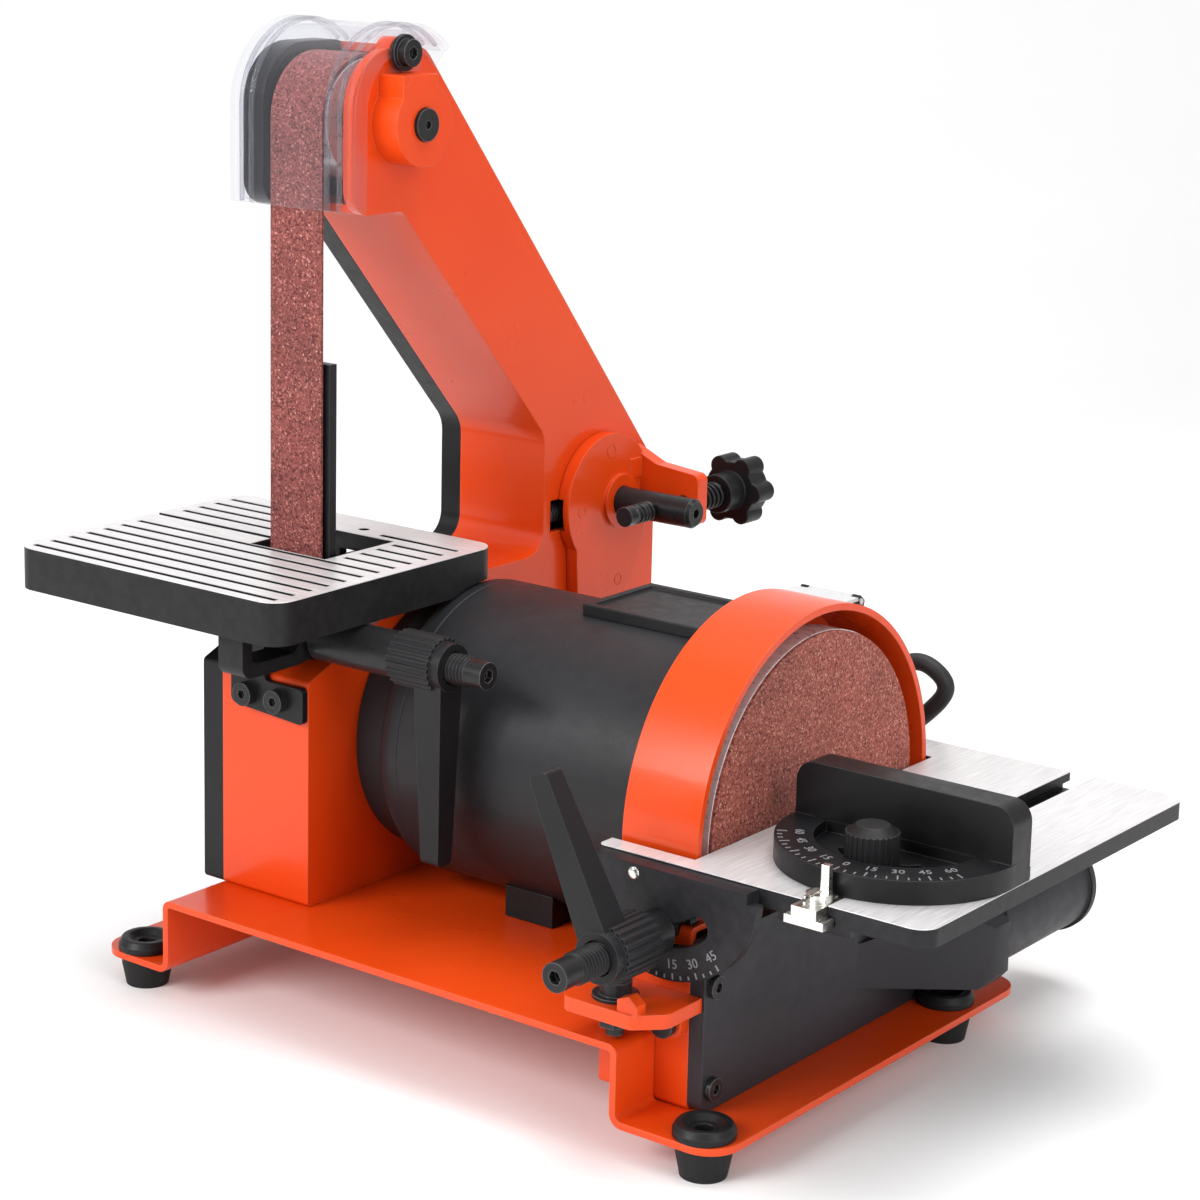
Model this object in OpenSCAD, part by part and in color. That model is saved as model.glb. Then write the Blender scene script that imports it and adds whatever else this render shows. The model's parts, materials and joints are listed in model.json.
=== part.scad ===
// Bench belt and disc sander with two tilting tables and a mitre gauge.
// X runs along the motor axis towards the disc, -Y is the front, +Z is up.
// The origin is the centre of the four feet, on the bench.

/* [Base] */
// Distance between the left and right feet
foot_spacing_x = 258.8; // [250:1:264]
// Distance between the front and rear feet
foot_spacing_y = 152.8; // [148:1:158]
// Height of the deck's top face
deck_z = 40; // [39:0.5:40]
// Height of the flanges' top faces
flange_z = 13.7; // [13:0.1:14]
// Thickness of the bent sheet
sheet = 2.5; // [2:0.1:3]

/* [Motor] */
// Motor axis, distance behind the origin
motor_y = 18; // [17:0.5:19]
// Motor axis, height
motor_z = 97.5; // [97:0.5:99]
// Outer radius of the motor shell
motor_r = 56.5; // [55:0.5:57]
// Radius of the motor shaft
shaft_r = 6; // [5:0.5:6]

/* [Belt] */
// Centre of the belt's width along X
belt_x = -92.5; // [-93:0.5:-92]
// Width of the belt
belt_w = 25.4; // [20:0.1:25.4]
// Thickness of the belt
belt_t = 1; // [0.6:0.1:1.2]
// Radius of the drive wheel
drive_r = 51; // [50:0.1:51]
// Radius of the upper wheel
upper_r = 23; // [22:0.1:23]
// Radius of the idler wheel
idler_r = 18; // [17:0.1:18]

/* [Disc] */
// Radius of the sanding disc
disc_r = 63.5; // [60:0.5:63.5]
// Outer radius of the guard around the disc
guard_r = 73; // [72.5:0.1:73]

/* [Belt table] */
// Height of the belt table's top face
belt_table_z = 167; // [166:0.5:168]
// Depth of the rim around the belt table
rim_h = 16; // [15:0.5:16]
// Spacing of the grooves
groove_pitch = 9; // [8:0.5:9]

/* [Disc table] */
// Height of the disc table's top face
disc_table_z = 98.8; // [98.8:0.1:99]
// Thickness of the disc table
disc_table_t = 6.5; // [6:0.1:6.5]
// Radius of the graduated trunnion plate
trunnion_r = 36; // [34:0.5:36]

/* [Dust port] */
// Outer radius of the dust port
port_r = 19; // [17:0.5:19]

/* [Hidden] */
$fn = 64;
gap = 0.15;      // clearance of a fixed screw or pin in its hole
run = 0.05;      // radial clearance of a running fit
foot_x = foot_spacing_x / 2;
foot_y = foot_spacing_y / 2;
base_front = -87;
base_rear = 112;

// Belt wheels in the YZ plane, in the order the belt visits them
drive_c = [motor_y, motor_z];
idler_c = [122, 166];
upper_c = [-10, 327];
wheels = [[drive_c, drive_r], [idler_c, idler_r], [upper_c, upper_r]];
wheel_w = 26;
wheel_x0 = belt_x - wheel_w / 2;

// Belt housing
house_x0 = -107;
house_x1 = -63.8;
cover_x0 = -117;
wall = 3;
house_pts = [
  [-58, deck_z], [108, deck_z], [153.3, 92], [153.3, 176], [3.6, 354], [-36, 354],
  [-36, 294.4], [-8, 294.4], [79.3, 198], [79.3, 150.3], [44, 150.3], [36, 152.4],
  [6, 152.4], [-58, 126]
];
house_rounds = [2, 4, 20, 16, 10, 22, 10, 6, 12, 10, 2, 2, 6, 2];
inner_rounds = [1, 1, 17, 13, 7, 19, 7, 9, 15, 13, 2, 2, 3, 1];
// The wider shell around the belt and its wheels
shell_w = 30.5;
shell_pts = [
  [-58, deck_z], [108, deck_z], [156, 92], [156, 177.3], [7.6, 354], [-36, 354],
  [-36, 294.4], [-8, 294.4], [79.3, 198], [79.3, 150.3], [44, 150.3], [36, 152.4],
  [6, 152.4], [-58, 126]
];
shell_rounds = [2, 4, 20, 16, 12, 22, 10, 6, 12, 10, 2, 2, 6, 2];
shell_inner = [1, 1, 17, 13, 9, 19, 7, 9, 15, 13, 2, 2, 3, 1];

guard_screw_c = [-10.5, 352.3];

// Tension arm
arm_t = 5.4;
arm_x0 = house_x1 + 0.3;
arm_r = 27.5;
arm_c = [115.5, 167];
arm_pivot = [104, 110];
idler_tip = -20;

// Disc side
disc_face = 107.2;
plate_x0 = 96;
abrasive_t = 1.2;
box_front = -65;
box_rear = 92.5;
box_x0 = 77.2;
box_x1 = 114;
cover_t = 6;
tilt_x = 108;
tilt_z = 97;
clamp_x = 105;
clamp_z = 77;
slot_r = norm([clamp_x - tilt_x, clamp_z - tilt_z]);
slot_a = atan2(clamp_z - tilt_z, clamp_x - tilt_x);
tilt_max = 45;
port_x = 127;
port_z = 39;
port_y1 = 157;
bracket_z = 118;
groove_x = 161.6;

// Belt table
pivot_y = -50;
pivot_z = 142;
table_x0 = -175.8;
table_x1 = -42.1;
table_y0 = -98.2;
table_y1 = 23.6;

orange = [0.91, 0.33, 0.15];
dark = [0.18, 0.18, 0.19];
black = [0.08, 0.08, 0.08];
steel = [0.75, 0.75, 0.76];
zinc = [0.82, 0.82, 0.80];
grit = [0.45, 0.22, 0.18];
rubber = [0.12, 0.12, 0.12];
clear = [0.9, 0.95, 1, 0.35];

// ---------- helpers ----------

// Extrudes an outline drawn in (y, z) along X
module yz(x0, len) {
  translate([x0, 0, 0]) rotate([90, 0, 90]) linear_extrude(len) children();
}

// Extrudes an outline drawn in (x, z) along Y
module xz(y0, len) {
  translate([0, y0 + len, 0]) rotate([90, 0, 0]) linear_extrude(len) children();
}

// Rods along each axis; the two numbers in c are the other coordinates, in order
module xrod(x0, len, r, c) {
  translate([x0, c[0], c[1]]) rotate([0, 90, 0]) cylinder(h = len, r = r);
}

module yrod(y0, len, r, c) {
  translate([c[0], y0, c[1]]) rotate([-90, 0, 0]) cylinder(h = len, r = r);
}

module zrod(z0, len, r, c) {
  translate([c[0], c[1], z0]) cylinder(h = len, r = r);
}

module box(lo, hi) {
  translate(lo) cube(hi - lo);
}

// One outline corner at b turned into an arc of radius r
function corner(a, b, c, r) =
  r == 0 ? [b] :
  let(
    u = (a - b) / norm(a - b),
    v = (c - b) / norm(c - b),
    half = acos(u * v) / 2,
    mid = b + (u + v) / norm(u + v) * r / sin(half),
    s = b + u * r / tan(half) - mid,
    e = b + v * r / tan(half) - mid,
    a0 = atan2(s[1], s[0]),
    turn = atan2(s[0] * e[1] - s[1] * e[0], s * e),
    n = max(3, ceil(abs(turn) / 9))
  )
  [for (k = [0:n]) mid + r * [cos(a0 + turn * k / n), sin(a0 + turn * k / n)]];

function rounded(p, r) =
  let(n = len(p))
  [for (i = [0:n - 1]) each corner(p[(i + n - 1) % n], p[i], p[(i + 1) % n], is_list(r) ? r[i] : r)];

// A counter-clockwise outline moved inwards by d
function inset(p, d) =
  let(n = len(p))
  [for (i = [0:n - 1])
    let(
      u = (p[i] - p[(i + n - 1) % n]) / norm(p[i] - p[(i + n - 1) % n]),
      v = (p[(i + 1) % n] - p[i]) / norm(p[(i + 1) % n] - p[i]),
      a = [-u[1], u[0]],
      b = [-v[1], v[0]]
    )
    p[i] + (a + b) * d / (1 + a * b)];

function rect(x0, y0, x1, y1) = [[x0, y0], [x1, y0], [x1, y1], [x0, y1]];

// Direction of the belt's outward normal on the run from wheel a to wheel b
function run_normal(a, b) =
  atan2(b[0][1] - a[0][1], b[0][0] - a[0][0]) - acos((a[1] - b[1]) / norm(b[0] - a[0]));

// Outline of a belt around the wheels, standing d proud of them
function belt_outline(d) =
  [for (i = [0:2])
    let(
      w = wheels[i],
      a0 = run_normal(wheels[(i + 2) % 3], w),
      a1 = run_normal(w, wheels[(i + 1) % 3]),
      turn = (a1 - a0 + 720) % 360,
      n = 20
    )
    for (k = [0:n]) w[0] + (w[1] + d) * [cos(a0 + turn * k / n), sin(a0 + turn * k / n)]];

module hex_socket(x0, dir, c, r) {
  translate([x0, c[0], c[1]]) rotate([0, 90 * dir, 0]) translate([0, 0, -0.01])
    cylinder(h = r, r = r, $fn = 6);
}

// ---------- base ----------

module foot_places() {
  for (sx = [-1, 1], sy = [-1, 1]) translate([sx * foot_x, sy * foot_y, 0]) children();
}

module base_plate() {
  path = [
    [-145, flange_z - sheet], [house_x0 - 0.7, flange_z - sheet],
    [house_x0 - 0.7, deck_z - sheet], [98, deck_z - sheet], [98, flange_z - sheet],
    [142, flange_z - sheet], [142, flange_z], [98 + sheet, flange_z], [98 + sheet, deck_z],
    [house_x0 - 0.7 - sheet, deck_z], [house_x0 - 0.7 - sheet, flange_z], [-145, flange_z]
  ];
  bends = [0, 5, 1, 1, 5, 0, 0, 2.5, 3.5, 3.5, 2.5, 0];
  plan = rounded(rect(-145, base_front, 142, base_rear), 12);
  color(orange) difference() {
    intersection() {
      xz(base_front - 1, base_rear - base_front + 2) polygon(rounded(path, bends));
      translate([0, 0, -1]) linear_extrude(60) polygon(plan);
    }
    box([box_x0 - 0.3, box_front - 0.3, flange_z + 0.05], [103, box_rear + 0.3, 60]);
    foot_places() translate([0, 0, 5]) cylinder(h = 20, r = 6.2);
    for (p = base_screw_places()) zrod(30, 20, 2 + gap, p);
    for (y = [2, 34]) zrod(30, 20, 2.6, [9, y]);
  }
}

module rubber_feet() {
  color(rubber) foot_places() difference() {
    union() {
      cylinder(h = 8, r1 = 8, r2 = 9.6);
      translate([0, 0, 8]) cylinder(h = flange_z - sheet - 8, r = 9.6);
      cylinder(h = flange_z, r = 6);
    }
    translate([0, 0, -1]) cylinder(h = 20, r = 3.3);
  }
}

module foot_grommets() {
  color(black) foot_places() translate([0, 0, flange_z]) difference() {
    union() {
      cylinder(h = 2.4, r = 10.8);
      translate([0, 0, 2.4]) cylinder(h = 2.4, r1 = 10.8, r2 = 9.4);
    }
    translate([0, 0, -1]) cylinder(h = 8, r = 3.3);
    translate([0, 0, 2.6]) cylinder(h = 3, r1 = 5, r2 = 8);
  }
}

// ---------- belt housing ----------

function cover_screw_places() = [[-46, 56], [92, 56], [140, 120], [15, 285]];

function platen_screw_heights() = [104, 118];

module belt_housing() {
  color(orange) difference() {
    union() {
      difference() {
        union() {
          yz(house_x0, shell_w) polygon(rounded(shell_pts, shell_rounds));
          yz(house_x0, house_x1 - house_x0) polygon(rounded(house_pts, house_rounds));
        }
        yz(house_x0 - 1, shell_w - 1.2) polygon(rounded(inset(shell_pts, wall), shell_inner));
        yz(house_x0 - 1, house_x1 - house_x0 + 1 - wall)
          polygon(rounded(inset(house_pts, wall), inner_rounds));
        box([house_x0 - 1, -40, 297.6], [house_x1 - wall - 1, 6, 370]);
        box([house_x0 - 1, -40, 284], [house_x1 - wall - 1, -27, 298]);
      }
      xrod(house_x1 - wall, wall + 12.3, 15.5, upper_c);
      box([house_x1 - 1, -22, 328], [house_x1 + 12.3, -3, 345]);
      xrod(house_x1 - 7, 6.9, 5.5, guard_screw_c);
      for (p = cover_screw_places()) xrod(house_x0, house_x1 - house_x0 - 1, 5, p);
      xrod(house_x1 - 12, 11, 9, arm_pivot);
    }
    xrod(house_x1 - 50, 80, shaft_r + gap, upper_c);
    xrod(house_x1 - 20, 30, 16, drive_c);
    xrod(house_x1 - 12, 15, 17, idler_c);
    xrod(house_x1 - 14, 20, 3 + gap, arm_pivot);
    for (p = cover_screw_places()) xrod(house_x0 - 1, 16, 2 + gap, p);
    box([house_x0 - 1, -39.5, 110], [-75, -26, 154]);
    for (x = [-76, -91.5]) yrod(-60, 8, 2 + gap, [x, bracket_z]);
    xrod(house_x1 - 8, 12, 2.5 + gap, guard_screw_c);
    for (z = platen_screw_heights()) xrod(house_x1 - 9, 7.4, 2 + gap, [-6, z]);
    for (p = base_screw_places()) zrod(30, 14, 2 + gap, p);
    box([house_x1 - 12, 83.5, 158], [house_x1 + 1, 96, 171]);
  }
}

function base_screw_places() = [[-85, -44], [-85, 84]];

module side_cover() {
  color(black) difference() {
    union() {
      difference() {
        yz(cover_x0, house_x0 - cover_x0 - gap) polygon(rounded(shell_pts, shell_rounds));
        yz(cover_x0 + 2.5, 10) polygon(rounded(inset(shell_pts, wall), shell_inner));
      }
      for (p = cover_screw_places()) xrod(cover_x0 + 1, house_x0 - cover_x0 - gap - 1, 5, p);
    }
    for (p = cover_screw_places()) xrod(cover_x0 - 1, 12, 2 + gap, p);
  }
}

module pan_screw(len) {
  difference() {
    union() {
      translate([0, 0, -3]) cylinder(h = 3, r = 4.6);
      cylinder(h = len, r = 2);
    }
    translate([0, 0, -3.01]) cylinder(h = 2, r = 2, $fn = 6);
  }
}

module housing_screws() {
  color(black) {
    for (p = cover_screw_places()) translate([cover_x0, p[0], p[1]]) rotate([0, 90, 0]) pan_screw(22);
    for (p = base_screw_places()) translate([p[0], p[1], deck_z - sheet]) pan_screw(6);
  }
}

// ---------- belt drive ----------

module crowned_wheel(r, bore, c) {
  translate([wheel_x0, c[0], c[1]]) rotate([0, 90, 0]) rotate_extrude()
    polygon([[bore, 0], [r - 0.6, 0], [r, 7], [r, wheel_w - 7], [r - 0.6, wheel_w], [bore, wheel_w]]);
}

module bearing(x0, w, r_in, r_out, c) {
  translate([x0, c[0], c[1]]) rotate([0, 90, 0]) rotate_extrude()
    polygon([
      [r_in, 0], [r_in + 2, 0], [r_in + 2.6, 0.8], [r_out - 2.6, 0.8], [r_out - 2, 0],
      [r_out, 0], [r_out, w], [r_out - 2, w], [r_out - 2.6, w - 0.8], [r_in + 2.6, w - 0.8],
      [r_in + 2, w], [r_in, w]
    ]);
}

module upper_axle() {
  color(black) difference() {
    union() {
      xrod(-105, 55, shaft_r, upper_c);
      xrod(-106.6, 1.6, 8, upper_c);
    }
    xrod(-52, 6, 1.6, upper_c);
  }
}

module upper_wheel() {
  color(steel) crowned_wheel(upper_r - gap, 14, upper_c);
}

module upper_wheel_bearings() {
  color(zinc) for (x = [wheel_x0 + 1, wheel_x0 + wheel_w - 9])
    bearing(x, 8, shaft_r + run, 14, upper_c);
}

module drive_wheel() {
  color(steel) difference() {
    union() {
      difference() {
        crowned_wheel(drive_r - gap, 10, drive_c);
        xrod(wheel_x0 - 1, 10, 44, drive_c);
        xrod(wheel_x0 + wheel_w - 9, 10, 44, drive_c);
      }
      xrod(wheel_x0, wheel_w + 6, 12, drive_c);
    }
    xrod(wheel_x0 - 1, 40, shaft_r + 0.01, drive_c);
    zrod(motor_z, 20, 2 + gap, [wheel_x0 + wheel_w + 3, motor_y]);
  }
}

module drive_wheel_screw() {
  color(black) difference() {
    zrod(motor_z + shaft_r + 0.02, 5.5, 2, [wheel_x0 + wheel_w + 3, motor_y]);
    translate([wheel_x0 + wheel_w + 3, motor_y, motor_z + 9]) cylinder(h = 4, r = 1.1, $fn = 6);
  }
}

module sanding_belt() {
  color(grit) yz(belt_x - belt_w / 2, belt_w) difference() {
    polygon(belt_outline(belt_t));
    polygon(belt_outline(0));
  }
}

module platen() {
  color(black) difference() {
    union() {
      box([-106.3, -31.9, 122], [-77.5, -28.1, 238.7]);
      box([-77.51, -31.9, 98], [-67, -28.1, 126]);
      box([-70, -31.9, 98], [-67, 2, 124]);
    }
    for (z = platen_screw_heights()) xrod(-72, 8, 2 + gap, [-6, z]);
  }
}

module platen_screws() {
  color(black) for (z = platen_screw_heights()) difference() {
    union() {
      xrod(-73, 3, 4, [-6, z]);
      xrod(-70, 4.4, 2, [-6, z]);
    }
    hex_socket(-73, 1, [-6, z], 1.8);
  }
}

// ---------- tension and tracking ----------

module idler_wheel() {
  color(steel) crowned_wheel(idler_r - gap, 14, idler_c);
}

module idler_bearings() {
  color(zinc) for (x = [wheel_x0 + 1, wheel_x0 + wheel_w - 9])
    bearing(x, 8, shaft_r + run, 14, idler_c);
}

module idler_shaft() {
  color(black) difference() {
    union() {
      xrod(-106, idler_tip + 106 - 1.5, shaft_r, idler_c);
      translate([idler_tip - 1.5, idler_c[0], idler_c[1]]) rotate([0, 90, 0])
        cylinder(h = 1.5, r1 = shaft_r, r2 = shaft_r - 1.2);
    }
    xrod(idler_tip - 5, 6, 2, idler_c);
    yrod(100, 40, 1.8 + gap, [-38, idler_c[1]]);
  }
}

module tension_arm() {
  stem = [
    [100, 96], [119, 98], [122, 118], [136, 141], [141, 160], [120, 190], [96, 178],
    [94, 150], [96, 118]
  ];
  color(orange) difference() {
    union() {
      xrod(arm_x0, arm_t, arm_r, arm_c);
      yz(arm_x0, arm_t) polygon(rounded(stem, 4));
      xrod(arm_x0, arm_t + 1.5, 11, idler_c);
      xz(135.5, 6.5) polygon(rounded(
        [[arm_x0, 157], [-29, 157], [-29, 178], [-50, 180], [arm_x0, 186]], [0, 3, 3, 6, 0]));
      box([arm_x0, 128, 174], [arm_x0 + 6, 142, 182]);
    }
    xrod(arm_x0 - 1, 12, shaft_r + gap, idler_c);
    xrod(arm_x0 - 1, 12, 3 + run, arm_pivot);
    yrod(130, 16, 3.1, [-36, idler_c[1]]);
    box([arm_x0 - 1, 83, 158], [arm_x0 + 2.5, 97, 171]);
  }
}

module tension_pivot_bolt() {
  color(black) difference() {
    union() {
      xrod(house_x1 - 12, 12 + 0.3 + arm_t + 0.1, 3, arm_pivot);
      xrod(arm_x0 + arm_t + 0.1, 4, 5, arm_pivot);
    }
    translate([arm_x0 + arm_t + 2.2, arm_pivot[0], arm_pivot[1]]) rotate([0, 90, 0])
      cylinder(h = 4, r = 2.5, $fn = 6);
  }
}

// Stacked rings joined by a thin core: a spring whose turns touch
module ring_spring(length, r, wire, core) {
  pitch = 2.4 * wire;
  n = floor(length / pitch);
  rotate_extrude() {
    for (k = [0:n - 1]) translate([r - wire, (k + 0.5) * length / n]) circle(r = wire, $fn = 16);
    translate([r - 1.5 * wire, 0]) square([core, length]);
  }
}

module tension_spring() {
  color(black) translate([house_x1 - 4.5, 84, 164.5]) rotate([-90, 0, 0]) ring_spring(10, 4, 0.9, 0.5);
}

module tracking_counter_screw() {
  color(black) union() {
    yrod(113.5 - 11.5, 15, 1.8, [-38, idler_c[1]]);
    yrod(98, 4, 4, [-38, idler_c[1]]);
    translate([-38, 102, idler_c[1]]) rotate([-90, 0, 0]) ring_spring(12, 3.6, 0.7, 0.4);
  }
}

module tracking_knob() {
  lobes = 6;
  color(black) union() {
    translate([-36, 168, idler_c[1]]) rotate([-90, 0, 0]) linear_extrude(11) union() {
      circle(r = 12);
      for (k = [0:lobes - 1]) rotate(k * 360 / lobes) translate([11, 0]) circle(r = 4.2);
    }
    yrod(158, 10, 8, [-36, idler_c[1]]);
    yrod(128.1, 30, 3, [-36, idler_c[1]]);
  }
}

module tracking_spring() {
  color(black) translate([-36, 142.2, idler_c[1]]) rotate([-90, 0, 0]) ring_spring(15.6, 5.4, 0.9, 0.5);
}

// ---------- upper guard ----------

guard_c = [-7.5, 331];
guard_out = 31;

module guard_profile(r) {
  intersection() {
    union() {
      translate(guard_c) circle(r = r);
      translate([guard_c[0] - r, 296]) square([r, guard_c[1] - 296]);
    }
    polygon([[-60, 296], [guard_c[0], 296], guard_c, guard_c + [48, 48], guard_c + [48, 54], [-60, 385]]);
  }
}

module belt_guard() {
  color(clear) difference() {
    union() {
      yz(-120, 58) difference() {
        guard_profile(guard_out);
        guard_profile(guard_out - 2);
      }
      for (x = [-120, -63.5]) yz(x, 1.5) difference() {
        guard_profile(guard_out - 0.5);
        guard_profile(guard_out - 9);
      }
      for (x = [-120.6, -62.6]) yz(x, 1.2) difference() {
        guard_profile(guard_out + 0.8);
        guard_profile(guard_out - 2);
      }
      box([-63.5, -16, 345.4], [-62, 0, 360]);
    }
    xrod(-66, 8, 2.5 + gap, guard_screw_c);
  }
}

module guard_screw() {
  color(black) difference() {
    union() {
      xrod(-62, 1.6, 6.7, guard_screw_c);
      xrod(-60.4, 3.4, 5, guard_screw_c);
      xrod(-66.5, 5, 2.5, guard_screw_c);
    }
    hex_socket(-57, -1, guard_screw_c, 2.4);
  }
}

// ---------- belt table ----------

module table_bracket() {
  color(black) difference() {
    union() {
      xz(-61, 2.9) polygon(rounded([[-100, 113], [-64, 110.5], [-64, 124.3], [-83, 124.3], [-83, 142],
        [-93, 142], [-93, 133], [-100, 133]], [3, 2, 2, 2, 0, 0, 2, 2]));
      box([-92, -60.9, 131], [-88, -50, 142]);
      xrod(-92, 4, 9, [pivot_y, pivot_z]);
    }
    xrod(-93, 6, 4 + gap, [pivot_y, pivot_z]);
    for (x = [-76, -91.5]) yrod(-62, 5, 2 + gap, [x, bracket_z]);
  }
}

module bracket_screws() {
  color(black) for (x = [-76, -91.5]) difference() {
    union() {
      yrod(-64.4, 3.4, 4.4, [x, bracket_z]);
      yrod(-61, 6, 2, [x, bracket_z]);
    }
    translate([x, -64.41, bracket_z]) rotate([-90, 0, 0]) cylinder(h = 2, r = 1.9, $fn = 6);
  }
}

module groove(x0, x1, y) {
  box([x0, y - 1.4, belt_table_z - 1.3], [x1, y + 1.4, belt_table_z + 1]);
}

module belt_table() {
  plan = rounded(rect(table_x0, table_y0, table_x1, table_y1), 9);
  inner = rounded(rect(table_x0 + 4, table_y0 + 4, table_x1 - 4, table_y1 - 4), 6);
  strap = rounded([
    [-89, 159], [-89, 133], [-60, 133], [-53, 134], [-50, 142], [-58, 142], [-62, 138],
    [-84, 138], [-84, 159]
  ], [0, 5, 2, 0, 0, 0, 2, 3, 0]);
  color(black) difference() {
    union() {
      difference() {
        translate([0, 0, belt_table_z - rim_h]) linear_extrude(rim_h) polygon(plan);
        translate([0, 0, belt_table_z - rim_h - 1]) linear_extrude(rim_h - 5) polygon(inner);
      }
      yz(-79, 12) polygon(strap);
      xrod(-79, 12, 9, [pivot_y, pivot_z]);
      box([-79, -59, 148], [-67, -41, belt_table_z - 5]);
      box([-79, -90, 155], [-67, -83, belt_table_z - 5]);
    }
    xrod(-80, 14, 4 + run, [pivot_y, pivot_z]);
    box([-113, -37, belt_table_z - rim_h - 1], [-75, 2, belt_table_z + 1]);
    box([table_x0 - 1, -26, belt_table_z - rim_h - 1], [-112, -22.6, belt_table_z + 1]);
    for (k = [0:6]) groove(table_x0 + 5, table_x1 - 5, -92.5 + k * groove_pitch);
    for (k = [0:3]) groove(table_x0 + 5, -118, -14 + k * groove_pitch);
    for (k = [0:3]) groove(-72, table_x1 - 5, -29.6 + k * groove_pitch);
    groove(-86, table_x1 - 5, 6.4);
    xrod(-50.5, 10, motor_r + 0.8, drive_c);
    box([cover_x0 - 1.5, 10, belt_table_z - rim_h - 1], [house_x1 + 1.5, 30, 154.5]);
    zrod(belt_table_z - 8, 10, 2.2, [-97, 9.6]);
  }
}

lever1_x0 = -25;

module belt_table_shaft() {
  c = [pivot_y, pivot_z];
  color(black) difference() {
    union() {
      xrod(-96, 4, 7, c);
      xrod(-92, 100, 4, c);
      xrod(-64, lever1_x0 + 64 - 0.2, 8.5, c);
      xrod(6, 8, 5, c);
    }
    hex_socket(14, -1, c, 2.5);
  }
}

// Clamp lever: its hub runs along +X from the origin and its arm hangs along -Z
module clamp_lever(arm, bore) {
  ribs = 24;
  difference() {
    union() {
      rotate([90, 0, 90]) linear_extrude(19) union() {
        circle(r = 9.6);
        for (k = [0:ribs - 1]) rotate(k * 360 / ribs) translate([9.6, 0]) circle(r = 0.8, $fn = 13);
      }
      rotate([0, 90, 0]) cylinder(h = 23, r = 8.8);
      intersection() {
        translate([9.5, 0, 0]) rotate([90, 0, 90]) linear_extrude(13)
          polygon(rounded([[-3.8, -arm], [3.8, -arm], [6.2, 0], [-6.2, 0]], [2, 2, 0, 0]));
        translate([0, 8, 0]) rotate([90, 0, 0]) linear_extrude(16)
          polygon([[12, -arm - 1], [20, -arm - 1], [22.4, 1], [9.6, 1]]);
      }
    }
    translate([-1, 0, 0]) rotate([0, 90, 0]) cylinder(h = 26, r = bore);
    translate([19.5, 0, 0]) rotate([0, 90, 0]) cylinder(h = 6, r = 6);
  }
}

module lever_spring(length) {
  rotate([0, 90, 0]) ring_spring(length, 5.6, 0.65, 0.35);
}

module belt_table_lever() {
  color(black) translate([lever1_x0, pivot_y, pivot_z]) {
    clamp_lever(74, 4 + run);
    translate([19.5, 0, 0]) lever_spring(11.4);
  }
}

// ---------- motor ----------

module motor_housing() {
  color(dark) difference() {
    union() {
      difference() {
        xrod(-38, 115, motor_r, drive_c);
        xrod(-39, 111, motor_r - 3, drive_c);
      }
      xrod(60, 16, 20, drive_c);
    }
    xrod(59, 13, 16 + 0.01, drive_c);
    xrod(59, 20, 9, drive_c);
  }
}

module motor_end_cover() {
  color(dark) difference() {
    union() {
      translate([-38.15, motor_y, motor_z]) rotate([0, -90, 0]) rotate_extrude()
        polygon(concat([[0, 0], [motor_r, 0]],
          [for (k = [0:6]) [motor_r - 8 + 8 * cos(k * 15), 4 + 8 * sin(k * 15)]], [[0, 12]]));
      xrod(-63.6, 14, 50, drive_c);
    }
    xrod(-47, 10, motor_r - 4, drive_c);
    xrod(-64, 20, 46, drive_c);
  }
  color(dark) difference() {
    union() {
      xrod(-50, 4, 47, drive_c);
      xrod(-50, 16, 20, drive_c);
    }
    xrod(-44, 12, 16 + 0.01, drive_c);
    xrod(-51, 20, 9, drive_c);
  }
}

module stator() {
  color(steel) difference() {
    xrod(-20, 65, motor_r - 3.05, drive_c);
    xrod(-21, 67, 30.6, drive_c);
    for (k = [0:11]) translate([-21, motor_y, motor_z]) rotate([k * 30, 0, 0])
      translate([0, -3, 30]) cube([67, 6, 9]);
  }
}

module stator_windings() {
  color("peru") for (x = [-32, 45.1]) difference() {
    xrod(x, 11.9, 48, drive_c);
    xrod(x - 1, 14, 33, drive_c);
  }
}

module rotor() {
  color(steel) difference() {
    xrod(-20, 65, 30, drive_c);
    xrod(-21, 67, shaft_r + 0.01, drive_c);
    for (k = [0:15]) translate([-21, motor_y, motor_z]) rotate([k * 22.5, 0, 0])
      translate([0, -0.6, 27]) cube([67, 1.2, 4]);
  }
}

module motor_shaft() {
  color(zinc) difference() {
    xrod(-107, 210, shaft_r, drive_c);
    xrod(98, 6, 2.1, drive_c);
  }
}

module motor_bearings() {
  color(zinc) for (x = [-43.9, 62]) bearing(x, 9.9, shaft_r + run, 16, drive_c);
}

module motor_fan() {
  color(dark) difference() {
    union() {
      xrod(48, 10, 10, drive_c);
      xrod(48, 2, 29, drive_c);
      for (k = [0:8]) translate([48, motor_y, motor_z]) rotate([k * 40, 0, 0])
        translate([0, -0.8, 9]) cube([9, 1.6, 19]);
    }
    xrod(47, 12, shaft_r + 0.01, drive_c);
  }
}

module motor_foot() {
  color(black) difference() {
    box([-4, -16, deck_z], [18, 52, 54]);
    xrod(-13, 45, motor_r + 0.05, drive_c);
    for (y = [2, 34]) zrod(30, 12, 2.5, [9, y]);
  }
}

module label_plate() {
  color(black) difference() {
    union() {
      box([12, 6, 130], [76, 48, 156]);
      linear_extrude_frame();
    }
    xrod(11, 66, motor_r + 0.05, drive_c);
  }
}

module linear_extrude_frame() {
  translate([0, 0, 155.9]) linear_extrude(1.3) difference() {
    polygon(rect(12, 6, 76, 48));
    polygon(rect(15, 9, 73, 45));
  }
}

rocker_c = [86.5, 138];
flap_c = [98, 151];

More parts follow.
